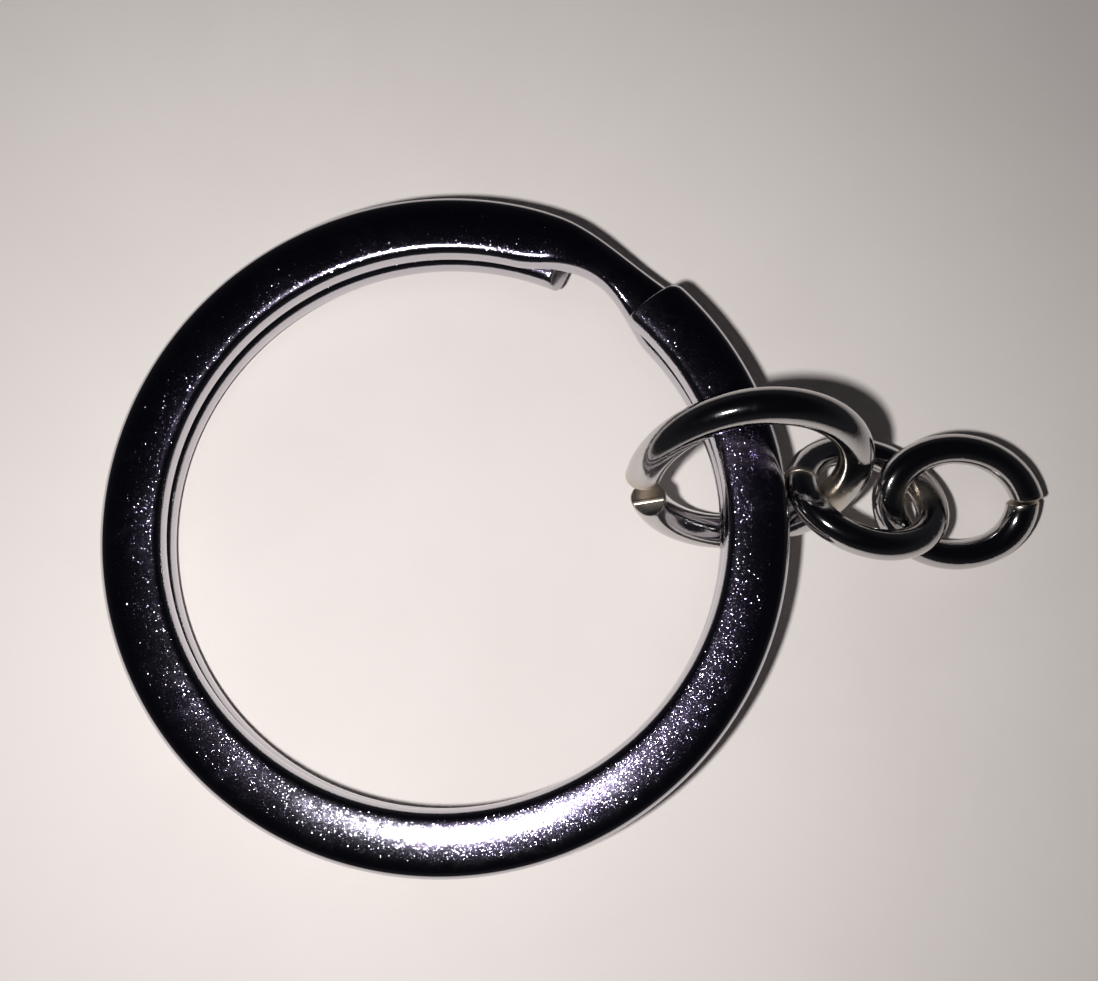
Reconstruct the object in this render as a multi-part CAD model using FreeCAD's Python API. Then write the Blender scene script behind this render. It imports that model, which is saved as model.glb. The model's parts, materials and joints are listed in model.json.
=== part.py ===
import FreeCAD, Part
import math
import os
from FreeCAD import Vector

# A split key ring that lies on a table, with a jump ring and two chain links.
# Dimensions are in millimetres and angles in degrees. Azimuths run
# anticlockwise from +X, seen from above.

# ---------------------------------------------------------------- split ring
RING_OUTER_RADIUS = 17.5
WIRE_WIDTH = 3.3
TURN_HEIGHT = 1.65
TURN_GAP = 0.10
CROWN_RADIUS = 6.0
# The crown's highest line stands nearer the ring's inside than its outside.
CROWN_OFFSET = -0.3
INNER_CORNER_RADIUS = 0.72
OUTER_CORNER_RADIUS = 0.60

# The upper free end is cut slightly off the radial line.
UPPER_END_OUTER_AZIMUTH = 46.9
UPPER_END_INNER_AZIMUTH = 48.6
UPPER_END_CORNER = 0.5
# The lower free end is cut on a slant, from its top face to its underside.
LOWER_END_TOP_AZIMUTH = 68.3
LOWER_END_BOTTOM_AZIMUTH = 65.8
# The crank carries the wire from the upper turn down to the lower turn.
CRANK_TOP_AZIMUTH = 70.0
CRANK_BOTTOM_AZIMUTH = 50.2
CRANK_FIRST_SECTION = 76.0
CRANK_NECK_AZIMUTH = 58.5
CRANK_LAST_SECTION = 42.0
CRANK_SECTIONS = 18
CRANK_INSET = 1.10
CRANK_OUTER_FLAT = 0.15
# Where the springing half of the upper turn is hinged to the rest.
HINGE_AZIMUTH = 230.0
SEAM_GAP = 0.03

# The ring leans on the jump ring's wire, so it lies tilted about Y.
RING_TILT = 3.98
RING_LIFT = 1.11

# ----------------------------------------------------------------- jump ring
JUMP_WIRE_RADIUS = 0.9
JUMP_RADIUS = 5.21
JUMP_CENTRE = Vector(15.59, 2.34, 3.456)
JUMP_TILT = 65.8
JUMP_TILT_AZIMUTH = -85.0
# Each cut end of a loop: its angle round the loop, how far it strays outward
# in the loop's plane, and how far it strays across the plane.
JUMP_ENDS = ((187.0, 0.16, 0.42), (178.0, 0.30, -0.20))
# The jump ring's first end is nipped to a ridge by the cutter.
JUMP_NIP_RIDGE = 0.35
JUMP_NIP_DEPTH = 0.60

# --------------------------------------------------------------- chain links
LINK_ARM_RADIUS = 0.80
LINK_END_RADIUS = 0.88
LINK_AXIAL_RADIUS = 0.79

CHAIN_LINK_CENTRE = Vector(21.96, 1.65, 0.60)
CHAIN_LINK_HALF_SIZE = (3.72, 3.15)
CHAIN_LINK_TURN = (-0.6, 18.6, -27.9)
CHAIN_LINK_ENDS = ((168.3, 0.12, 0.10), (165.7, 0.02, -0.10))

END_LINK_CENTRE = Vector(26.90, 1.59, -0.852)
END_LINK_HALF_SIZE = (3.80, 2.85)
END_LINK_TURN = (-8.4, 14.5, 23.2)
END_LINK_ENDS = ((17.8, 0.36, 0.0), (15.2, 0.10, 0.0))

SECTIONS_PER_LOOP = 48
OFFSET_FADE = 30.0

MID_RADIUS = RING_OUTER_RADIUS - WIRE_WIDTH / 2
LOWER_MID = TURN_HEIGHT / 2
UPPER_MID = LOWER_MID + TURN_HEIGHT + TURN_GAP
X_AXIS = Vector(1, 0, 0)
Y_AXIS = Vector(0, 1, 0)
Z_AXIS = Vector(0, 0, 1)
ORIGIN = Vector(0, 0, 0)


def smooth(fraction):
    """Rise from 0 to 1 with level ends."""
    held = min(1.0, max(0.0, fraction))
    return held * held * (3 - 2 * held)


def polar(radius, azimuth, height):
    """Point at a radius, azimuth and height about Z."""
    turn = math.radians(azimuth)
    return Vector(radius * math.cos(turn), radius * math.sin(turn), height)


def flat_wire_section(azimuth, mid_radius, width, mid_height):
    """Closed section of the flattened wire, crowned above and below, with rounded edges."""
    half_width = width / 2
    half_height = TURN_HEIGHT / 2
    crown_x = CROWN_OFFSET * width / WIRE_WIDTH
    crown_z = half_height - CROWN_RADIUS

    def place(x, z):
        return polar(mid_radius + x, azimuth, mid_height + z)

    def arc(start, through, end):
        return Part.Arc(place(*start), place(*through), place(*end)).toShape()

    def corner(side, radius):
        """Wall end, middle and crown end of one rounded upper edge."""
        centre_x = side * (half_width - radius)
        reach = CROWN_RADIUS - radius
        centre_z = crown_z + math.sqrt(reach ** 2 - (centre_x - crown_x) ** 2)
        lean = math.atan2(centre_z - crown_z, abs(centre_x - crown_x))
        if side * (centre_x - crown_x) < 0:
            lean = math.pi - lean
        middle = lean / 2
        wall = (side * half_width, centre_z)
        bend = (centre_x + side * radius * math.cos(middle), centre_z + radius * math.sin(middle))
        end = (crown_x + side * CROWN_RADIUS * math.cos(lean), crown_z + CROWN_RADIUS * math.sin(lean))
        return wall, bend, end

    def below(point):
        return (point[0], -point[1])

    outer = corner(1, OUTER_CORNER_RADIUS)
    inner = corner(-1, INNER_CORNER_RADIUS)
    top = (crown_x, half_height)
    edges = [
        Part.makeLine(place(*below(outer[0])), place(*outer[0])),
        arc(outer[0], outer[1], outer[2]),
        arc(outer[2], top, inner[2]),
        arc(inner[2], inner[1], inner[0]),
        Part.makeLine(place(*inner[0]), place(*below(inner[0]))),
        arc(below(inner[0]), below(inner[1]), below(inner[2])),
        arc(below(inner[2]), below(top), below(outer[2])),
        arc(below(outer[2]), below(outer[1]), below(outer[0])),
    ]
    return Part.Wire(edges)


def turn_arc(start, end, mid_height):
    """Part of a turn of constant section, from one azimuth to a larger one."""
    section = flat_wire_section(start, MID_RADIUS, WIRE_WIDTH, mid_height)
    return Part.Face(section).revolve(ORIGIN, Z_AXIS, end - start)


def crank():
    """The wire where it steps down, drawn in from the inside of the ring."""
    sections = []
    step = (CRANK_FIRST_SECTION - CRANK_LAST_SECTION) / (CRANK_SECTIONS - 1)
    fall = CRANK_TOP_AZIMUTH - CRANK_BOTTOM_AZIMUTH
    neck_from_first = CRANK_FIRST_SECTION - CRANK_NECK_AZIMUTH
    neck_from_last = CRANK_NECK_AZIMUTH - CRANK_LAST_SECTION
    for index in range(CRANK_SECTIONS):
        azimuth = CRANK_FIRST_SECTION - index * step
        drop = smooth((CRANK_TOP_AZIMUTH - azimuth) / fall) * (UPPER_MID - LOWER_MID)
        from_above = smooth((CRANK_FIRST_SECTION - azimuth) / neck_from_first)
        from_below = smooth((azimuth - CRANK_LAST_SECTION) / neck_from_last)
        bulge = from_above * from_below
        inner = RING_OUTER_RADIUS - WIRE_WIDTH + CRANK_INSET * bulge
        outer = RING_OUTER_RADIUS - CRANK_OUTER_FLAT * bulge
        mid_radius = (inner + outer) / 2
        sections.append(flat_wire_section(azimuth, mid_radius, outer - inner, UPPER_MID - drop))
    return Part.makeLoft(sections, True, False)


def cutting_slab(point, along, normal):
    """Large thin-sided block that takes away everything on one side of a plane."""
    size = 2 * WIRE_WIDTH
    across = normal.cross(along)
    corners = [
        point - along * size - across * size,
        point + along * size - across * size,
        point + along * size + across * size,
        point - along * size + across * size,
    ]
    face = Part.Face(Part.makePolygon(corners + [corners[0]]))
    return face.extrude(normal * WIRE_WIDTH)


def fixed_turn():
    """Lower turn, crank and the held half of the upper turn, as one wire."""
    upper = turn_arc(CRANK_FIRST_SECTION, HINGE_AZIMUTH, UPPER_MID)
    lower_end = LOWER_END_BOTTOM_AZIMUTH - 1
    lower = turn_arc(lower_end, 360 + CRANK_LAST_SECTION, LOWER_MID)
    top = polar(MID_RADIUS, LOWER_END_TOP_AZIMUTH, TURN_HEIGHT)
    bottom = polar(MID_RADIUS, LOWER_END_BOTTOM_AZIMUTH, 0)
    up = (top - bottom).normalize()
    radial = polar(1, (LOWER_END_TOP_AZIMUTH + LOWER_END_BOTTOM_AZIMUTH) / 2, 0)
    outward = radial.cross(up)
    if outward.dot(polar(1, LOWER_END_TOP_AZIMUTH - 90, 0)) < 0:
        outward = outward * -1
    lower = lower.cut(cutting_slab(bottom, up, outward))
    return lower.fuse([crank(), upper]).removeSplitter()


def sprung_turn():
    """The half of the upper turn that lifts when a key is threaded on."""
    overrun = 4
    start = HINGE_AZIMUTH - 360 + math.degrees(SEAM_GAP / MID_RADIUS)
    turn = turn_arc(start, UPPER_END_INNER_AZIMUTH + overrun, UPPER_MID)
    inner = polar(RING_OUTER_RADIUS - WIRE_WIDTH, UPPER_END_INNER_AZIMUTH, 0)
    outer = polar(RING_OUTER_RADIUS, UPPER_END_OUTER_AZIMUTH, 0)
    along = (outer - inner).normalize()
    outward = Z_AXIS.cross(along)
    corner = Vector(outer.x, outer.y, UPPER_MID)
    bevel = (along + outward).normalize()
    bevel_along = Z_AXIS.cross(bevel)
    turn = turn.cut(cutting_slab(corner, along, outward))
    return turn.cut(cutting_slab(corner - along * UPPER_END_CORNER, bevel_along, bevel))


def loop_frame(half_size, turn):
    """Point, tangent and outward direction at an angle round an oval."""
    centre = Vector(math.cos(turn) * half_size[0], math.sin(turn) * half_size[1], 0)
    tangent = Vector(-math.sin(turn) * half_size[0], math.cos(turn) * half_size[1], 0)
    tangent.normalize()
    return centre, tangent, tangent.cross(Z_AXIS)


def open_loop(half_size, arm_radius, end_radius, axial_radius, ends):
    """Round wire bent to an oval in the XY plane, with its two ends not quite meeting."""
    (first_angle, first_out, first_up), (last_angle, last_out, last_up) = ends
    span = last_angle + 360 - first_angle
    sections = []
    for index in range(SECTIONS_PER_LOOP + 1):
        sweep = span * index / SECTIONS_PER_LOOP
        turn = math.radians(first_angle + sweep)
        first = math.exp(-sweep / OFFSET_FADE)
        last = math.exp((sweep - span) / OFFSET_FADE)
        centre, tangent, outward = loop_frame(half_size, turn)
        centre = centre + outward * (first * first_out + last * last_out)
        centre = centre + Z_AXIS * (first * first_up + last * last_up)
        width = arm_radius + (end_radius - arm_radius) * math.cos(turn) ** 4
        ellipse = Part.Ellipse(centre + outward * width, centre + Z_AXIS * axial_radius, centre)
        sections.append(Part.Wire(ellipse.toShape()))
    return Part.makeLoft(sections, True, False)


def lying(shape):
    """Put a shape drawn about the split ring's axis into the lying frame."""
    tilt = FreeCAD.Rotation(Y_AXIS, -RING_TILT)
    shift = RING_LIFT * math.tan(math.radians(RING_TILT))
    placed = shape.copy()
    placed.Placement = FreeCAD.Placement(Vector(-shift, 0, RING_LIFT), tilt).multiply(placed.Placement)
    return placed


def cutter_nip():
    """Wedge that the cutter takes off the jump ring's first end."""
    angle, out, up = JUMP_ENDS[0]
    centre, tangent, outward = loop_frame((JUMP_RADIUS, JUMP_RADIUS), math.radians(angle))
    centre = centre + outward * out + Z_AXIS * up
    reach = JUMP_WIRE_RADIUS * 1.3
    slope = JUMP_NIP_DEPTH / (JUMP_WIRE_RADIUS - JUMP_NIP_RIDGE)
    over = 0.05
    side = centre - outward * reach
    corners = [
        side + Z_AXIS * (JUMP_NIP_RIDGE - over) - tangent * (over * slope),
        side + Z_AXIS * reach - tangent * (over * slope),
        side + Z_AXIS * reach + tangent * (slope * (reach - JUMP_NIP_RIDGE)),
    ]
    face = Part.Face(Part.makePolygon(corners + [corners[0]]))
    return face.extrude(outward * (2 * reach))


def jump_ring():
    """Round-wire ring that hangs through the split ring."""
    loop = open_loop(
        (JUMP_RADIUS, JUMP_RADIUS), JUMP_WIRE_RADIUS, JUMP_WIRE_RADIUS, JUMP_WIRE_RADIUS - 0.001, JUMP_ENDS
    )
    loop = loop.cut(cutter_nip())
    normal = polar(math.sin(math.radians(JUMP_TILT)), JUMP_TILT_AZIMUTH, 0)
    normal.z = math.cos(math.radians(JUMP_TILT))
    across = Z_AXIS.cross(normal).normalize()
    up = normal.cross(across)
    loop.Placement = FreeCAD.Placement(JUMP_CENTRE, FreeCAD.Rotation(across, up, normal))
    return loop


def chain_loop(half_size, ends, centre, turn):
    """Oval chain link, turned about Z, then Y, then X, at its centre."""
    loop = open_loop(half_size, LINK_ARM_RADIUS, LINK_END_RADIUS, LINK_AXIAL_RADIUS, ends)
    loop.Placement = FreeCAD.Placement(centre, FreeCAD.Rotation(*turn))
    return loop


def main():
    """Build every piece and write one STEP file for each."""
    os.makedirs("parts", exist_ok=True)
    shapes = {
        "split_ring_fixed_turn": fixed_turn(),
        "split_ring_sprung_turn": sprung_turn(),
        "jump_ring": jump_ring(),
        "chain_link": chain_loop(
            CHAIN_LINK_HALF_SIZE, CHAIN_LINK_ENDS, CHAIN_LINK_CENTRE, CHAIN_LINK_TURN
        ),
        "end_link": chain_loop(
            END_LINK_HALF_SIZE, END_LINK_ENDS, END_LINK_CENTRE, END_LINK_TURN
        ),
    }
    for name, shape in shapes.items():
        placed = lying(shape)
        placed.exportStep("parts/" + name + ".step")
        print(name, placed.isValid(), len(placed.Solids), round(placed.Volume, 3), placed.BoundBox)


main()
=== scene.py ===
import json
import logging
import math
from dataclasses import dataclass
from enum import Enum
from typing import Callable

import bmesh
import bpy
import numpy as np
from mathutils import Matrix, Vector


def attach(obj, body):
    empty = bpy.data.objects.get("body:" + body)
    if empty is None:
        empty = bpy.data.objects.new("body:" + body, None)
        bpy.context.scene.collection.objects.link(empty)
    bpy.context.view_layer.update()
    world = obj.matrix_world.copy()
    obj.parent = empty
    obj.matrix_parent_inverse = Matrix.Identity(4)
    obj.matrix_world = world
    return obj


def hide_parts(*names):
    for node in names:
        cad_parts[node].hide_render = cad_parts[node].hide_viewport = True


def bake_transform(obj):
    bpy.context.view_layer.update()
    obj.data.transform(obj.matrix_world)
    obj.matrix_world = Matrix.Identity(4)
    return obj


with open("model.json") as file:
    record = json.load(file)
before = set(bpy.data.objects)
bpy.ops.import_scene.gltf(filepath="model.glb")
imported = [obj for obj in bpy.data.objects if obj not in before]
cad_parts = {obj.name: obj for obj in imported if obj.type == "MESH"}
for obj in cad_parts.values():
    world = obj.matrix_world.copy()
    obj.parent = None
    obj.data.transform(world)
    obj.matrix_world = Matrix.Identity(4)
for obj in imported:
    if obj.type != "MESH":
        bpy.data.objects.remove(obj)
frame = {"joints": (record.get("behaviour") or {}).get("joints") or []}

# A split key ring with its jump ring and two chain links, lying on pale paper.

LOG = logging.getLogger("key_ring")
MM = 0.001
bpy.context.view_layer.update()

Point = tuple[float, float, float]
Bend = Callable[[np.ndarray], np.ndarray]


class Body(Enum):
    """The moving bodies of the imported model."""

    FIXED_TURN = "fixed_turn"
    SPRUNG_TURN = "sprung_turn"
    JUMP_RING = "jump_ring"
    CHAIN_LINK = "chain_link"
    END_LINK = "end_link"


class Slot(Enum):
    """The record's material slots."""

    RING = "ring_chrome"
    LINK = "link_chrome"


# --------------------------------------------------------------------------
# Small mathematical helpers
# --------------------------------------------------------------------------


def smooth(value: np.ndarray | float) -> np.ndarray | float:
    """Rise from 0 to 1 with level ends, held outside that range."""
    held = np.clip(value, 0.0, 1.0)
    return held * held * (3 - 2 * held)


def ring_placement() -> Matrix:
    """Placement of the split ring, read from the hinge that follows its axis.

    Returns:
        Matrix that takes a point in millimetres about the ring's own axis to metres.
    """
    joint = next(j for j in frame["joints"] if j["name"] == "jump_ring_travel")
    up = Vector(joint["axis"]).normalized()
    left = Vector((0, 1, 0))
    ahead = left.cross(up).normalized()
    turn = Matrix((ahead, left, up)).transposed().to_4x4()
    return Matrix.Translation(Vector(joint["pos_m"])) @ turn @ Matrix.Scale(MM, 4)


PLACE = ring_placement()


# --------------------------------------------------------------------------
# Shader groups
# --------------------------------------------------------------------------


class GroupBuilder:
    """Makes one shader node group with named sockets."""

    def __init__(self, name: str, inputs: dict[str, float | None], outputs: dict[str, str]) -> None:
        """Start the group.

        Args:
            name: Name of the group.
            inputs: Socket name to its default number, or None for a vector.
            outputs: Socket name to its socket type.
        """
        self.tree = bpy.data.node_groups.new(name, "ShaderNodeTree")
        for label, default in inputs.items():
            kind = "NodeSocketVector" if default is None else "NodeSocketFloat"
            socket = self.tree.interface.new_socket(name=label, in_out="INPUT", socket_type=kind)
            if default is not None:
                socket.default_value = default
        for label, kind in outputs.items():
            self.tree.interface.new_socket(name=label, in_out="OUTPUT", socket_type=kind)
        self.start = self.tree.nodes.new("NodeGroupInput")
        self.end = self.tree.nodes.new("NodeGroupOutput")

    def node(self, kind: str, values: dict[str, object] | None = None, **settings: object) -> bpy.types.Node:
        """Add a node.

        Args:
            kind: Node type.
            values: Input socket name or number to a value or an output socket.
            settings: Properties of the node.

        Returns:
            The new node.
        """
        return add_node(self.tree, kind, values, **settings)

    def give(self, label: str, socket: bpy.types.NodeSocket) -> None:
        """Join a socket to one of the group's outputs."""
        self.tree.links.new(socket, self.end.inputs[label])

    def take(self, label: str) -> bpy.types.NodeSocket:
        """Return one of the group's inputs."""
        return self.start.outputs[label]


def add_node(
    tree: bpy.types.NodeTree, kind: str, values: dict[object, object] | None = None, **settings: object
) -> bpy.types.Node:
    """Add a node to a tree, set it and join its inputs.

    Args:
        tree: The node tree.
        kind: Node type.
        values: Input socket name or number to a value or an output socket.
        settings: Properties of the node.

    Returns:
        The new node.
    """
    made = tree.nodes.new(kind)
    for label, value in settings.items():
        setattr(made, label, value)
    for label, value in (values or {}).items():
        if isinstance(value, bpy.types.NodeSocket):
            tree.links.new(value, made.inputs[label])
        else:
            made.inputs[label].default_value = value
    return made


def maths(
    tree: bpy.types.NodeTree, operation: str, *values: object, **settings: object
) -> bpy.types.NodeSocket:
    """Add a Math node.

    Args:
        tree: The node tree.
        operation: What the node works out.
        values: Its inputs in order, each a number or an output socket.
        settings: Further properties of the node.

    Returns:
        Its result.
    """
    inputs = dict(enumerate(values))
    return add_node(tree, "ShaderNodeMath", inputs, operation=operation, **settings).outputs[0]


def mix_colours(
    tree: bpy.types.NodeTree, factor: bpy.types.NodeSocket, first: object, second: object
) -> bpy.types.NodeSocket:
    """Add a node that mixes two colours.

    Args:
        tree: The node tree.
        factor: How much of the second colour there is, from 0 to 1.
        first: The first colour, or a socket that gives it.
        second: The second colour, or a socket that gives it.

    Returns:
        The mixed colour.
    """
    first, second = ((*colour, 1.0) if isinstance(colour, tuple) else colour for colour in (first, second))
    inputs = {"Factor": factor, "A": first, "B": second}
    return add_node(tree, "ShaderNodeMix", inputs, data_type="RGBA").outputs["Result"]


SCRATCH_TURNS = ((0.3, 0.9, 0.2), (1.4, 0.1, 1.1), (0.7, 2.1, 2.3))


def scratch_group() -> bpy.types.NodeTree:
    """Fine crossing scratches: thin stretched lines in three directions.

    Returns:
        Group with a mask of the lines.
    """
    group = GroupBuilder(
        "fine_scratches",
        {"Vector": None, "Scale": 400.0, "Stretch": 0.03, "Width": 0.05},
        {"Mask": "NodeSocketFloat"},
    )
    tree = group.tree
    scale = group.take("Scale")
    along = maths(tree, "MULTIPLY", scale, group.take("Stretch"))
    squeeze = group.node("ShaderNodeCombineXYZ", {0: scale, 1: scale, 2: along}).outputs[0]
    total = None
    for turn in SCRATCH_TURNS:
        spun = group.node(
            "ShaderNodeVectorRotate", {"Vector": group.take("Vector"), "Rotation": turn},
            rotation_type="EULER_XYZ",
        ).outputs[0]
        moved = group.node("ShaderNodeVectorMath", {0: spun, 1: squeeze}, operation="MULTIPLY").outputs[0]
        noise = group.node(
            "ShaderNodeTexNoise", {"Vector": moved, "Scale": 1.0, "Detail": 2.0, "Roughness": 0.6}
        )
        distance = maths(tree, "ABSOLUTE", maths(tree, "SUBTRACT", noise.outputs["Fac"], 0.5))
        line = group.node(
            "ShaderNodeMapRange",
            {
                "Value": distance, "From Min": 0.0, "From Max": group.take("Width"),
                "To Min": 1.0, "To Max": 0.0,
            },
        ).outputs[0]
        total = line if total is None else maths(tree, "MAXIMUM", total, line)
    patch = group.node("ShaderNodeTexNoise", {"Vector": group.take("Vector"), "Scale": 350.0, "Detail": 3.0})
    gate = group.node(
        "ShaderNodeMapRange", {"Value": patch.outputs["Fac"], "From Min": 0.42, "From Max": 0.62}
    )
    group.give("Mask", maths(tree, "MULTIPLY", total, gate.outputs[0]))
    return tree


def sparkle_group() -> bpy.types.NodeTree:
    """Tiny flats that each tilt the surface, so that they glint one by one; few tilt far.

    Returns:
        Group with a tilted normal.
    """
    group = GroupBuilder(
        "glinting_flats",
        {"Vector": None, "Normal": None, "Scale": 7000.0, "Tilt": 0.8, "Rarity": 2.0},
        {"Normal": "NodeSocketVector"},
    )
    tree = group.tree
    spread = {"Vector": group.take("Vector"), "Scale": group.take("Scale")}
    cells = group.node("ShaderNodeTexVoronoi", spread, feature="F1")
    parts = group.node("ShaderNodeSeparateColor", {0: cells.outputs["Color"]})
    chance = maths(tree, "POWER", parts.outputs[2], group.take("Rarity"))
    spot = group.node(
        "ShaderNodeMapRange",
        {"Value": cells.outputs["Distance"], "From Min": 0.2, "From Max": 0.6, "To Min": 1.0, "To Max": 0.0},
    ).outputs[0]
    strength = maths(tree, "MULTIPLY", maths(tree, "MULTIPLY", chance, spot), group.take("Tilt"))
    other = group.node(
        "ShaderNodeTexWhiteNoise", {"Vector": cells.outputs["Position"]}, noise_dimensions="3D"
    ).outputs["Color"]
    centred = group.node("ShaderNodeVectorMath", {0: other, 1: (0.5, 0.5, 0.5)}, operation="SUBTRACT")
    way = group.node("ShaderNodeVectorMath", {0: centred.outputs[0]}, operation="NORMALIZE")
    pushed = group.node("ShaderNodeVectorMath", {0: way.outputs[0], "Scale": strength}, operation="SCALE")
    summed = group.node(
        "ShaderNodeVectorMath", {0: group.take("Normal"), 1: pushed.outputs[0]}, operation="ADD"
    )
    unit = group.node("ShaderNodeVectorMath", {0: summed.outputs[0]}, operation="NORMALIZE")
    group.give("Normal", unit.outputs[0])
    return tree


def haze_group() -> bpy.types.NodeTree:
    """Soft cloudy patches, such as fingermarks and thin spots in plating.

    Returns:
        Group with a mask that runs from 0 to 1.
    """
    group = GroupBuilder(
        "soft_haze", {"Vector": None, "Scale": 120.0, "Low": 0.35, "High": 0.7}, {"Mask": "NodeSocketFloat"}
    )
    noise = group.node(
        "ShaderNodeTexNoise",
        {
            "Vector": group.take("Vector"), "Scale": group.take("Scale"), "Detail": 5.0, "Roughness": 0.6,
            "Distortion": 0.4,
        },
    )
    held = group.node(
        "ShaderNodeMapRange",
        {"Value": noise.outputs["Fac"], "From Min": group.take("Low"), "From Max": group.take("High")},
        interpolation_type="SMOOTHSTEP",
    )
    group.give("Mask", held.outputs[0])
    return group.tree


class Effects:
    """The shader groups that the finishes share, each built once."""

    def __init__(self) -> None:
        """Build every group."""
        self.scratches = scratch_group()
        self.sparkle = sparkle_group()
        self.haze = haze_group()


# --------------------------------------------------------------------------
# Finishes
# --------------------------------------------------------------------------


@dataclass(frozen=True)
class BrightPlate:
    """Bright plating over steel wire, dulled by a fine grain where it rubs."""

    name: str
    metal: Point
    cloud: Point
    worn: Point
    smooth_roughness: float
    rubbed_roughness: float
    scratch_roughness: float
    coarse_scale: float
    coarse_tilt: float
    coarse_rarity: float
    fine_scale: float
    fine_tilt: float
    fine_rarity: float
    ripple: float
    worn_roughness: float = 0.40
    ripple_strength: float = 0.2

    def build(self, effects: Effects) -> bpy.types.Material:
        """Make the material.

        Args:
            effects: The shared shader groups.

        Returns:
            The material.
        """
        material = bpy.data.materials.new(self.name)
        material.use_nodes = True
        tree = material.node_tree
        tree.nodes.clear()
        place = add_node(tree, "ShaderNodeTexCoord").outputs["Object"]
        wear = add_node(tree, "ShaderNodeAttribute", attribute_name="wear").outputs["Fac"]
        rub = add_node(tree, "ShaderNodeAttribute", attribute_name="rub").outputs["Fac"]
        scratches = add_node(
            tree, "ShaderNodeGroup", {"Vector": place}, node_tree=effects.scratches
        ).outputs["Mask"]
        haze = add_node(tree, "ShaderNodeGroup", {"Vector": place}, node_tree=effects.haze).outputs["Mask"]
        grain = maths(tree, "MULTIPLY", rub, maths(tree, "MULTIPLY_ADD", haze, 0.4, 0.7))
        mottled = maths(tree, "MULTIPLY_ADD", haze, 0.5, 0.5)
        browned = maths(tree, "MULTIPLY", wear, mottled, use_clamp=True)
        colour = mix_colours(tree, browned, mix_colours(tree, grain, self.metal, self.cloud), self.worn)
        rough = add_node(
            tree, "ShaderNodeMapRange",
            {"Value": grain, "To Min": self.smooth_roughness, "To Max": self.rubbed_roughness},
        ).outputs[0]
        lined = maths(tree, "MULTIPLY_ADD", scratches, self.scratch_roughness, rough)
        aged = maths(tree, "MULTIPLY_ADD", browned, self.worn_roughness, lined)
        facing = add_node(tree, "ShaderNodeNewGeometry").outputs["Normal"]
        coarse = (self.coarse_scale, self.coarse_tilt, self.coarse_rarity)
        fine = (self.fine_scale, self.fine_tilt, self.fine_rarity)
        for scale, tilt, rarity in (coarse, fine):
            lean = maths(tree, "MULTIPLY", grain, tilt)
            flats = {"Vector": place, "Normal": facing, "Scale": scale, "Tilt": lean, "Rarity": rarity}
            facing = add_node(tree, "ShaderNodeGroup", flats, node_tree=effects.sparkle).outputs["Normal"]
        bump = add_node(
            tree, "ShaderNodeBump",
            {
                "Strength": self.ripple_strength, "Distance": self.ripple, "Height": scratches,
                "Normal": facing,
            },
            invert=True,
        ).outputs[0]
        shader = add_node(
            tree, "ShaderNodeBsdfPrincipled",
            {"Base Color": colour, "Metallic": 1.0, "Roughness": aged, "Normal": bump},
        )
        add_node(tree, "ShaderNodeOutputMaterial", {"Surface": shader.outputs[0]})
        return material


@dataclass(frozen=True)
class PlainPaper:
    """Off-white paper with a faint tooth."""

    name: str = "plain_paper"
    light: Point = (0.85, 0.785, 0.75)
    dark: Point = (0.82, 0.755, 0.72)
    cloud_scale: float = 60.0
    tooth_scale: float = 2200.0
    tooth_height: float = 0.00004

    def build(self, effects: Effects) -> bpy.types.Material:
        """Make the material.

        Args:
            effects: The shared shader groups.

        Returns:
            The material.
        """
        material = bpy.data.materials.new(self.name)
        material.use_nodes = True
        tree = material.node_tree
        tree.nodes.clear()
        place = add_node(tree, "ShaderNodeTexCoord").outputs["Object"]
        haze = {"Vector": place, "Scale": self.cloud_scale}
        cloud = add_node(tree, "ShaderNodeGroup", haze, node_tree=effects.haze).outputs["Mask"]
        tooth = add_node(
            tree, "ShaderNodeTexNoise",
            {"Vector": place, "Scale": self.tooth_scale, "Detail": 4.0, "Roughness": 0.6},
        ).outputs["Fac"]
        colour = mix_colours(tree, cloud, self.light, self.dark)
        bump = add_node(
            tree, "ShaderNodeBump", {"Strength": 0.12, "Distance": self.tooth_height, "Height": tooth}
        ).outputs[0]
        shader = add_node(
            tree, "ShaderNodeBsdfPrincipled",
            {"Base Color": colour, "Roughness": 0.9, "Specular IOR Level": 0.15, "Normal": bump},
        )
        add_node(tree, "ShaderNodeOutputMaterial", {"Surface": shader.outputs[0]})
        return material


RING_PLATE = BrightPlate(
    name="ring_bright_plate", metal=(0.62, 0.61, 0.64), cloud=(0.24, 0.205, 0.32), worn=(0.50, 0.45, 0.40),
    smooth_roughness=0.05, rubbed_roughness=0.145, scratch_roughness=0.04,
    coarse_scale=16000.0, coarse_tilt=0.50, coarse_rarity=2.8,
    fine_scale=26000.0, fine_tilt=0.32, fine_rarity=1.3, ripple=0.000002,
)
LINK_PLATE = BrightPlate(
    name="link_bright_plate", metal=(0.62, 0.61, 0.60), cloud=(0.56, 0.55, 0.55), worn=(0.62, 0.53, 0.42),
    smooth_roughness=0.05, rubbed_roughness=0.075, scratch_roughness=0.04,
    coarse_scale=9500.0, coarse_tilt=0.10, coarse_rarity=3.0,
    fine_scale=19000.0, fine_tilt=0.06, fine_rarity=1.5, ripple=0.000002,
)


# --------------------------------------------------------------------------
# Straight wire and its winding
# --------------------------------------------------------------------------


def clear_selection() -> None:
    """Leave edit mode and deselect every object."""
    if bpy.context.object is not None and bpy.context.object.mode != "OBJECT":
        bpy.ops.object.mode_set(mode="OBJECT")
    bpy.ops.object.select_all(action="DESELECT")


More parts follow.
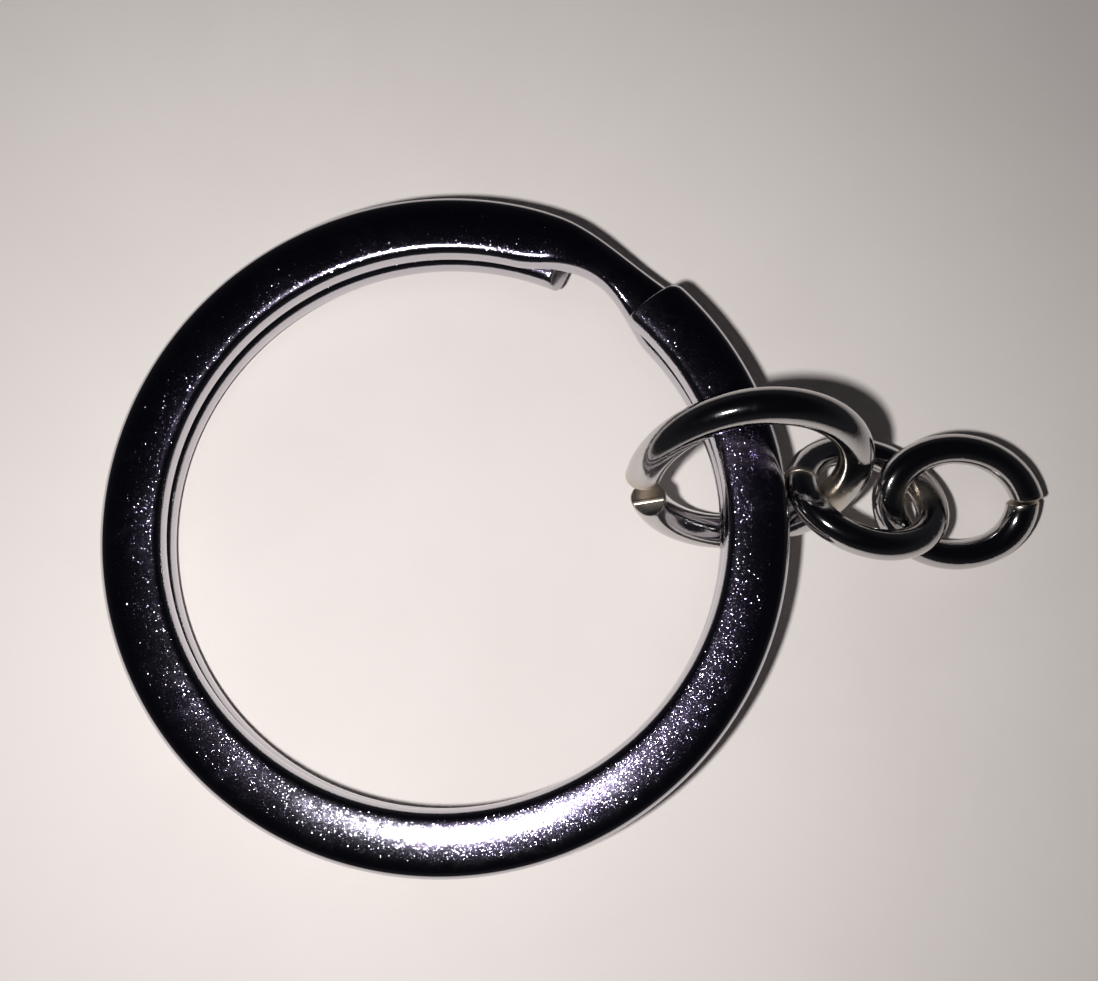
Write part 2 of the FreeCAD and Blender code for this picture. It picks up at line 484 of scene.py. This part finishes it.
@dataclass
class StraightWire:
    """A straight length of wire along Y, made before it is wound."""

    name: str
    outline: list[tuple[float, float]]
    length: float
    cuts: int
    first_round: float
    last_round: float
    burr: float = 0.0
    nip: tuple[float, float] | None = None

    def make(self) -> bpy.types.Object:
        """Draw the section, pull it out, round its rims and divide it along its length.

        Returns:
            The wire, in millimetres, from Y = 0 to Y = length.
        """
        clear_selection()
        count = len(self.outline)
        bpy.ops.mesh.primitive_circle_add(vertices=count, radius=1.0, fill_type="NGON")
        wire = bpy.context.object
        wire.name = self.name
        wire.data.name = self.name
        for vertex, (x, z) in zip(wire.data.vertices, self.outline):
            vertex.co = (x, 0.0, z)
        bpy.ops.object.mode_set(mode="EDIT")
        bpy.ops.mesh.select_all(action="SELECT")
        bpy.ops.mesh.extrude_region_move(TRANSFORM_OT_translate={"value": (0.0, self.length, 0.0)})
        bpy.ops.mesh.select_all(action="SELECT")
        bpy.ops.mesh.normals_make_consistent(inside=False)
        if self.nip is not None:
            self._nip_first_end(*self.nip)
        for round_by, at_first in ((self.first_round, True), (self.last_round, False)):
            if round_by > 0:
                self._select_rim(at_first)
                bpy.ops.mesh.bevel(offset=round_by, segments=3, profile=0.5, affect="EDGES")
                self._flatten_end(at_first, round_by)
        self._divide()
        bpy.ops.object.mode_set(mode="OBJECT")
        return wire

    def _nip_first_end(self, ridge: float, depth: float) -> None:
        """Slice a wedge off the first end, as a cutter leaves it.

        Args:
            ridge: Height on the end face where the slice starts.
            depth: How far along the wire the slice reaches at its rim.
        """
        rise = max(z for _, z in self.outline) - ridge
        outward = Vector((0.0, -rise, depth)).normalized()
        bpy.ops.mesh.bisect(plane_co=(0.0, 0.0, ridge), plane_no=outward, use_fill=True, clear_outer=True)

    def _select_rim(self, at_first: bool) -> None:
        """Select the edges round the faces that close one end.

        Args:
            at_first: True for the first end, False for the last.
        """
        bpy.ops.mesh.select_mode(type="EDGE")
        bpy.ops.mesh.select_all(action="DESELECT")
        mesh = bmesh.from_edit_mesh(bpy.context.object.data)
        mesh.normal_update()
        for edge in mesh.edges:
            middle = (edge.verts[0].co.y + edge.verts[1].co.y) / 2
            on_end = (middle < self.length / 4) if at_first else (middle > self.length * 3 / 4)
            edge.select = on_end and any(abs(face.normal.y) > 0.3 for face in edge.link_faces)
        bmesh.update_edit_mesh(bpy.context.object.data)

    def _flatten_end(self, at_first: bool, round_by: float) -> None:
        """Ring one end face with a narrow border and swell what is inside it, as shears leave it.

        Args:
            at_first: True for the first end, False for the last.
            round_by: How far its rim was rounded.
        """
        bpy.ops.mesh.select_mode(type="FACE")
        bpy.ops.mesh.select_all(action="DESELECT")
        mesh = bmesh.from_edit_mesh(bpy.context.object.data)
        mesh.normal_update()
        for face in mesh.faces:
            level = face.calc_center_median().y
            at_end = level < 1e-5 if at_first else level > self.length - 1e-5
            face.select = at_end and abs(face.normal.y) > 0.99
        bmesh.update_edit_mesh(bpy.context.object.data)
        bpy.ops.mesh.inset(thickness=round_by)
        bpy.ops.transform.translate(value=(0.0, -self.burr if at_first else self.burr, 0.0))

    def _divide(self) -> None:
        """Divide the long edges evenly, in two rounds."""
        cuts = math.ceil(math.sqrt(self.cuts))
        bpy.ops.mesh.select_mode(type="EDGE")
        for at_least in (self.length * 0.8, self.length * 0.5 / (cuts + 1)):
            bpy.ops.mesh.select_all(action="DESELECT")
            mesh = bmesh.from_edit_mesh(bpy.context.object.data)
            for edge in mesh.edges:
                edge.select = abs(edge.verts[0].co.y - edge.verts[1].co.y) > at_least
            bmesh.update_edit_mesh(bpy.context.object.data)
            bpy.ops.mesh.subdivide(number_cuts=cuts)


def wind(wire: bpy.types.Object, bend: Bend, wear: Bend, rub: Bend) -> None:
    """Wind a straight wire into its shape and place it.

    Args:
        wire: The straight wire, in millimetres.
        bend: Takes the straight wire's points to points about the ring's axis.
        wear: Takes the straight wire's points to how worn each one is, from 0 to 1.
        rub: Takes them to how much fine grain each one has, from 0 to 1.
    """
    mesh = wire.data
    points = np.empty(len(mesh.vertices) * 3)
    mesh.vertices.foreach_get("co", points)
    points = points.reshape(-1, 3)
    for name, rule in (("wear", wear), ("rub", rub)):
        layer = mesh.attributes.new(name, "FLOAT", "POINT")
        layer.data.foreach_set("value", np.asarray(rule(points), dtype=np.float32))
    moved = bend(points)
    turn = np.array(PLACE)
    placed = moved @ turn[:3, :3].T + turn[:3, 3]
    mesh.vertices.foreach_set("co", placed.ravel())
    mesh.update()
    clear_selection()
    wire.select_set(True)
    bpy.context.view_layer.objects.active = wire
    bpy.ops.object.mode_set(mode="EDIT")
    bpy.ops.mesh.select_all(action="SELECT")
    bpy.ops.mesh.normals_make_consistent(inside=False)
    bpy.ops.object.mode_set(mode="OBJECT")
    bpy.ops.object.shade_smooth_by_angle(angle=math.radians(40))


def dress(piece: bpy.types.Object, material: bpy.types.Material, body: Body, node: str) -> None:
    """Give a piece its material, hide the CAD node that it stands for, and log the body that it rides on.

    Args:
        piece: The finished piece.
        material: Its material.
        body: The body that it rides on.
        node: The CAD node that it stands for.
    """
    piece.data.materials.clear()
    piece.data.materials.append(material)
    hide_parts(node)
    LOG.info("%s rides on %s: %d faces", piece.name, body.value, len(piece.data.polygons))


# --------------------------------------------------------------------------
# Split ring
# --------------------------------------------------------------------------


@dataclass
class SplitRing:
    """One flattened wire wound into two turns, with a crank between them."""

    outer_radius: float = 17.5
    width: float = 3.3
    height: float = 1.65
    turn_gap: float = 0.10
    crown_radius: float = 6.0
    crown_offset: float = -0.3
    inner_corner: float = 0.72
    outer_corner: float = 0.60
    upper_end: float = 47.75
    upper_end_slant: float = -0.85
    lower_end: float = -652.95
    lower_end_slant: float = 1.25
    seam: float = -130.0
    crank_top: float = -290.0
    crank_bottom: float = -309.8
    crank_first: float = -284.0
    crank_neck: float = -301.5
    crank_last: float = -318.0
    crank_inset: float = 1.10
    crank_outer_flat: float = 0.15
    end_corner: float = 0.55
    inner_corner_share: float = 0.3
    end_wear: float = 0.3
    end_wear_length: float = 0.5
    rim_round: float = 0.12
    station: float = 0.2

    @property
    def mid_radius(self) -> float:
        """Radius of the wire's middle."""
        return self.outer_radius - self.width / 2

    @property
    def upper_mid(self) -> float:
        """Height of the middle of the upper turn."""
        return self.height * 1.5 + self.turn_gap

    def outline(self) -> list[tuple[float, float]]:
        """Section of the flattened wire: crowned above and below, with rounded edges.

        Returns:
            Points once round the section.
        """
        half_height = self.height / 2
        crown_z = half_height - self.crown_radius
        outer, outer_lean = self._corner(1, self.outer_corner, crown_z)
        inner, inner_lean = self._corner(-1, self.inner_corner, crown_z)
        crown = []
        for step in range(1, 16):
            angle = outer_lean + (math.pi - inner_lean - outer_lean) * step / 16
            across = self.crown_offset + self.crown_radius * math.cos(angle)
            crown.append((across, crown_z + self.crown_radius * math.sin(angle)))
        top = outer + crown + inner[::-1]
        return top + [(x, -z) for x, z in reversed(top)]

    def _corner(self, side: int, radius: float, crown_z: float) -> tuple[list[tuple[float, float]], float]:
        """Points round one upper edge of the section, from its wall to the crown.

        Args:
            side: 1 for the edge on the ring's outside, -1 for the inside.
            radius: Radius of the edge.
            crown_z: Height of the crown's centre.

        Returns:
            The points, and the angle at which the edge meets the crown, from that side's level.
        """
        centre_x = side * (self.width / 2 - radius)
        away = side * (centre_x - self.crown_offset)
        centre_z = crown_z + math.sqrt((self.crown_radius - radius) ** 2 - away**2)
        lean = math.atan2(centre_z - crown_z, away)
        angles = [lean * step / 10 for step in range(11)]
        points = [(centre_x + side * radius * math.cos(a), centre_z + radius * math.sin(a)) for a in angles]
        return points, lean

    def bend(self, start: float, end: float) -> Bend:
        """Winding of a stretch of the wire.

        Args:
            start: Azimuth in degrees where the stretch starts; it runs clockwise.
            end: Azimuth where it ends.

        Returns:
            The winding.
        """

        def apply(points: np.ndarray) -> np.ndarray:
            """Take straight points to wound points."""
            length = math.radians(start - end) * self.mid_radius
            x, run, z = points[:, 0].copy(), points[:, 1], points[:, 2]
            azimuth = start + (end - start) * run / length
            if abs(start - self.upper_end) < 1e-6:
                azimuth = azimuth + self.upper_end_slant * x / (self.width / 2) * (1 - smooth(run / 5.0))
                short = np.clip(self.end_corner - run, 0, self.end_corner)
                inset = self.end_corner - np.sqrt(np.clip(self.end_corner**2 - short**2, 0, None))
                outside = x * (1 - inset / (self.width / 2))
                inside = x * (1 - self.inner_corner_share * inset / (self.width / 2))
                x = np.where(x > 0, outside, inside)
            if abs(end - self.lower_end) < 1e-6:
                left = length - run
                azimuth = azimuth + self.lower_end_slant * z / (self.height / 2) * (1 - smooth(left / 4.0))
            first = smooth((self.crank_first - azimuth) / (self.crank_first - self.crank_neck))
            last = smooth((azimuth - self.crank_last) / (self.crank_neck - self.crank_last))
            bulge = first * last
            inner = self.outer_radius - self.width + self.crank_inset * bulge
            outer = self.outer_radius - self.crank_outer_flat * bulge
            drop = smooth((self.crank_top - azimuth) / (self.crank_top - self.crank_bottom))
            level = self.upper_mid - drop * (self.upper_mid - self.height / 2)
            radius = (inner + outer) / 2 + x * (outer - inner) / self.width
            turn = np.radians(azimuth)
            return np.column_stack([radius * np.cos(turn), radius * np.sin(turn), level + z])

        return apply

    def wear(self, start: float, end: float) -> Bend:
        """How worn the wire is: most at its cut ends."""

        def apply(points: np.ndarray) -> np.ndarray:
            """Take straight points to wear from 0 to 1."""
            length = math.radians(start - end) * self.mid_radius
            near = np.zeros(len(points))
            if abs(start - self.upper_end) < 1e-6:
                near = np.maximum(near, 1 - smooth(points[:, 1] / self.end_wear_length))
            if abs(end - self.lower_end) < 1e-6:
                near = np.maximum(near, 1 - smooth((length - points[:, 1]) / self.end_wear_length))
            return near * self.end_wear

        return apply

    def rub(self, points: np.ndarray) -> np.ndarray:
        """How much fine grain the wire has: most on its flats, away from the ring's outer edge."""
        across = points[:, 0] / (self.width / 2)
        on_flat = smooth((np.abs(points[:, 2]) / (self.height / 2) - 0.72) / 0.2)
        return (0.12 + 0.88 * on_flat) * (1 - 0.75 * smooth((across - 0.35) / 0.4))

    def stretch(self, name: str, start: float, end: float) -> bpy.types.Object:
        """Make one stretch of the wire and wind it; only its free end has a rounded rim.

        Args:
            name: Name of the piece.
            start: Azimuth where it starts; it runs clockwise.
            end: Azimuth where it ends.

        Returns:
            The wound stretch.
        """
        length = math.radians(start - end) * self.mid_radius
        first_round = self.rim_round if start == self.upper_end else 0.0
        last_round = self.rim_round if end == self.lower_end else 0.0
        cuts = int(length / self.station)
        wire = StraightWire(name, self.outline(), length, cuts, first_round, last_round).make()
        wind(wire, self.bend(start, end), self.wear(start, end), self.rub)
        return wire

    def build(self, plate: bpy.types.Material) -> None:
        """Make the two stretches and attach the fixed one to its body.

        Args:
            plate: The wire's material.
        """
        fixed = self.stretch("split_ring_coil", self.seam, self.lower_end)
        dress(fixed, plate, Body.FIXED_TURN, "split_ring_fixed_turn")
        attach(fixed, Body.FIXED_TURN.value)
        sprung = self.stretch("split_ring_upper_half", self.upper_end, self.seam)
        dress(sprung, plate, Body.SPRUNG_TURN, "split_ring_sprung_turn")
        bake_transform(sprung)


# --------------------------------------------------------------------------
# Round-wire loops
# --------------------------------------------------------------------------


@dataclass(frozen=True)
class CutEnd:
    """One cut end of a loop: its angle, and how far it strays outward and across."""

    angle: float
    out: float
    up: float


@dataclass
class RoundLoop:
    """Round wire bent to a ring or an oval, with its two ends not quite meeting."""

    name: str
    node: str
    body: Body
    half_size: tuple[float, float]
    arm_radius: float
    end_radius: float
    axial_radius: float
    first: CutEnd
    last: CutEnd
    placement: Matrix
    contacts: tuple[float, ...] = ()
    nip: tuple[float, float] | None = None
    fade: float = 30.0
    sides: int = 40
    cuts: int = 180
    rim_round: float = 0.09
    burr: float = 0.03
    end_wear: float = 0.8
    end_wear_sweep: float = 9
    contact_wear: float = 0.7
    contact_wear_sweep: float = 32

    @property
    def length(self) -> float:
        """Rough length of the wire."""
        return math.pi * sum(self.half_size)

    @property
    def span(self) -> float:
        """Degrees from the first end round to the last."""
        return self.last.angle + 360 - self.first.angle

    def outline(self) -> list[tuple[float, float]]:
        """Round section of the arm's radius."""
        steps = (2 * math.pi * i / self.sides for i in range(self.sides))
        return [(self.arm_radius * math.cos(a), self.arm_radius * math.sin(a)) for a in steps]

    def bend(self, points: np.ndarray) -> np.ndarray:
        """Take straight points to the loop, placed about the split ring's axis."""
        sweep = points[:, 1] / self.length * self.span
        turn = np.radians(self.first.angle + sweep)
        first = np.exp(-np.clip(sweep, 0, None) / self.fade)
        last = np.exp(-np.clip(self.span - sweep, 0, None) / self.fade)
        a, b = self.half_size
        tangent = np.column_stack([-np.sin(turn) * a, np.cos(turn) * b, np.zeros_like(turn)])
        tangent /= np.linalg.norm(tangent, axis=1)[:, None]
        outward = np.column_stack([tangent[:, 1], -tangent[:, 0], np.zeros_like(turn)])
        up = np.array([0.0, 0.0, 1.0])
        width = self.arm_radius + (self.end_radius - self.arm_radius) * np.cos(turn) ** 4
        centre = np.column_stack([np.cos(turn) * a, np.sin(turn) * b, np.zeros_like(turn)])
        centre = centre + outward * (first * self.first.out + last * self.last.out)[:, None]
        centre = centre + up * (first * self.first.up + last * self.last.up)[:, None]
        across = points[:, 0] * width / self.arm_radius
        high = points[:, 2] * self.axial_radius / self.arm_radius
        local = centre + outward * across[:, None] + up * high[:, None]
        turned = np.array(self.placement)
        return local @ turned[:3, :3].T + turned[:3, 3]

    def wear(self, points: np.ndarray) -> np.ndarray:
        """How worn each point is: at the cut ends, and where a neighbour rubs."""
        sweep = points[:, 1] / self.length * self.span
        first = 1 - smooth(sweep / self.end_wear_sweep)
        last = 1 - smooth((self.span - sweep) / self.end_wear_sweep)
        near = np.maximum(first, last) * self.end_wear
        for contact in self.contacts:
            away = np.abs((sweep + self.first.angle - contact + 180) % 360 - 180)
            inside = smooth(0.5 - points[:, 0] / self.arm_radius)
            close = 1 - smooth(away / self.contact_wear_sweep)
            near = np.maximum(near, close * inside * self.contact_wear)
        return near

    def rub(self, points: np.ndarray) -> np.ndarray:
        """How much fine grain the wire has: the same all over."""
        return np.ones(len(points))

    def build(self, plate: bpy.types.Material) -> None:
        """Make the loop and put it on its body.

        Args:
            plate: The wire's material.
        """
        wire = StraightWire(
            self.name, self.outline(), self.length, self.cuts, self.rim_round, self.rim_round,
            burr=self.burr, nip=self.nip,
        ).make()
        wind(wire, self.bend, self.wear, self.rub)
        dress(wire, plate, self.body, self.node)
        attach(wire, self.body.value)


def tipped_placement(centre: Point, tilt: float, towards: float) -> Matrix:
    """Placement of a ring whose axis leans from upright.

    Args:
        centre: The ring's centre.
        tilt: Degrees that its axis leans.
        towards: Azimuth that it leans towards.

    Returns:
        The placement.
    """
    lean, way = math.radians(tilt), math.radians(towards)
    normal = Vector((math.sin(lean) * math.cos(way), math.sin(lean) * math.sin(way), math.cos(lean)))
    across = Vector((0, 0, 1)).cross(normal).normalized()
    up = normal.cross(across)
    return Matrix.Translation(centre) @ Matrix((across, up, normal)).transposed().to_4x4()


def turned_placement(centre: Point, yaw: float, pitch: float, roll: float) -> Matrix:
    """Placement of a link turned about X, then Y, then Z.

    Args:
        centre: The link's centre.
        yaw: Degrees about Z.
        pitch: Degrees about Y.
        roll: Degrees about X.

    Returns:
        The placement.
    """
    turns = [Matrix.Rotation(math.radians(a), 4, axis) for a, axis in ((yaw, "Z"), (pitch, "Y"), (roll, "X"))]
    return Matrix.Translation(centre) @ turns[0] @ turns[1] @ turns[2]


def jump_ring() -> RoundLoop:
    """The round ring that hangs through the split ring."""
    return RoundLoop(
        name="round_jump_ring", node="jump_ring", body=Body.JUMP_RING, half_size=(5.21, 5.21),
        arm_radius=0.9, end_radius=0.9, axial_radius=0.9,
        first=CutEnd(187.0, 0.16, 0.42), last=CutEnd(178.0, 0.30, -0.20),
        placement=tipped_placement((15.59, 2.34, 3.456), 65.8, -85.0), contacts=(-28.0,), nip=(0.35, 0.60),
    )


def chain_link() -> RoundLoop:
    """The oval link threaded on the jump ring."""
    return RoundLoop(
        name="oval_chain_link", node="chain_link", body=Body.CHAIN_LINK, half_size=(3.72, 3.15),
        arm_radius=0.80, end_radius=0.88, axial_radius=0.79,
        first=CutEnd(168.3, 0.12, 0.10), last=CutEnd(165.7, 0.02, -0.10),
        placement=turned_placement((21.96, 1.65, 0.60), -0.6, 18.6, -27.9), contacts=(0.0,),
    )


def end_link() -> RoundLoop:
    """The last oval link, which a fob hangs on."""
    return RoundLoop(
        name="oval_end_link", node="end_link", body=Body.END_LINK, half_size=(3.80, 2.85),
        arm_radius=0.80, end_radius=0.88, axial_radius=0.79,
        first=CutEnd(17.8, 0.36, 0.0), last=CutEnd(15.2, 0.10, 0.0),
        placement=turned_placement((26.90, 1.59, -0.852), -8.4, 14.5, 23.2), contacts=(180.0,),
    )


# --------------------------------------------------------------------------
# Paper, lamps and camera
# --------------------------------------------------------------------------


@dataclass
class Table:
    """The sheet of paper that everything lies on."""

    size: float = 1.6

    def build(self, effects: Effects) -> None:
        """Lay the paper.

        Args:
            effects: The shared shader groups.
        """
        clear_selection()
        bpy.ops.mesh.primitive_plane_add(size=self.size, location=(0.0, 0.0, 0.0))
        sheet = bpy.context.object
        sheet.name = "paper_sheet"
        sheet.data.materials.append(PlainPaper().build(effects))
        LOG.info("paper laid")


@dataclass
class Lamps:
    """A small close lamp, a broad soft one and a dim room."""

    close_place: Point = (-3.0, -16.0, 69.0)
    close_size: float = 0.004
    close_power: float = 0.052
    broad_power: float = 0.08
    close_aim: Point = (-8.0, 12.0, 0.0)
    broad_place: Point = (-0.12, -0.05, 0.6)
    broad_size: float = 0.7
    horizon: Point = (0.030, 0.030, 0.034)
    zenith: Point = (0.006, 0.006, 0.009)
    zenith_height: float = 0.75
    room_strength: float = 0.6

    def build(self) -> None:
        """Hang both lamps and set the room."""
        clear_selection()
        place = PLACE @ Vector(self.close_place)
        bpy.ops.object.light_add(type="AREA", location=place)
        close = bpy.context.object
        close.name = "close_lamp"
        close.data.shape = "DISK"
        close.data.size = self.close_size
        close.data.energy = self.close_power
        close.rotation_euler = (PLACE @ Vector(self.close_aim) - place).to_track_quat("-Z", "Y").to_euler()
        bpy.ops.object.light_add(type="AREA", location=self.broad_place)
        broad = bpy.context.object
        broad.name = "broad_lamp"
        broad.data.shape = "DISK"
        broad.data.size = self.broad_size
        broad.data.energy = self.broad_power
        broad.visible_glossy = False
        world = bpy.data.worlds.new("dim_room")
        bpy.context.scene.world = world
        world.use_nodes = True
        tree = world.node_tree
        tree.nodes.clear()
        way = add_node(tree, "ShaderNodeTexCoord").outputs["Generated"]
        height = add_node(tree, "ShaderNodeSeparateXYZ", {0: way}).outputs[2]
        ramp = add_node(
            tree, "ShaderNodeMapRange", {"Value": height, "From Min": 0.0, "From Max": self.zenith_height},
            interpolation_type="SMOOTHSTEP",
        ).outputs[0]
        colour = mix_colours(tree, ramp, self.horizon, self.zenith)
        sky = add_node(tree, "ShaderNodeBackground", {"Color": colour, "Strength": self.room_strength})
        add_node(tree, "ShaderNodeOutputWorld", {"Surface": sky.outputs[0]})
        LOG.info("lamps hung")


@dataclass
class Viewpoint:
    """The camera, close above the ring."""

    place: Point = (6.5, -12.0, 69.0)
    target: Point = (5.29, 2.15, 0.0)
    lens: float = 43.6

    def build(self) -> None:
        """Make the camera and point it."""
        clear_selection()
        place = PLACE @ Vector(self.place)
        ahead = (PLACE @ Vector(self.target) - place).normalized()
        north = (PLACE.to_3x3() @ Vector((0, 1, 0))).normalized()
        right = ahead.cross(north).normalized()
        up = right.cross(ahead)
        turn = Matrix((right, up, -ahead)).transposed().to_4x4()
        bpy.ops.object.camera_add(location=place)
        camera = bpy.context.object
        camera.name = "camera"
        camera.matrix_world = Matrix.Translation(place) @ turn
        camera.data.lens = self.lens
        camera.data.sensor_width = 36.0
        camera.data.clip_start = 0.001
        bpy.context.scene.camera = camera
        LOG.info("camera set")


def main() -> None:
    """Build every sub-assembly in order, then the stage."""
    logging.basicConfig(level=logging.INFO)
    bpy.context.scene.view_settings.view_transform = "Standard"
    effects = Effects()
    ring_plate = RING_PLATE.build(effects)
    link_plate = LINK_PLATE.build(effects)
    SplitRing().build(ring_plate)
    for loop in (jump_ring(), chain_link(), end_link()):
        loop.build(link_plate)
    Table().build(effects)
    Lamps().build()
    Viewpoint().build()


if __name__ == "__main__":
    main()
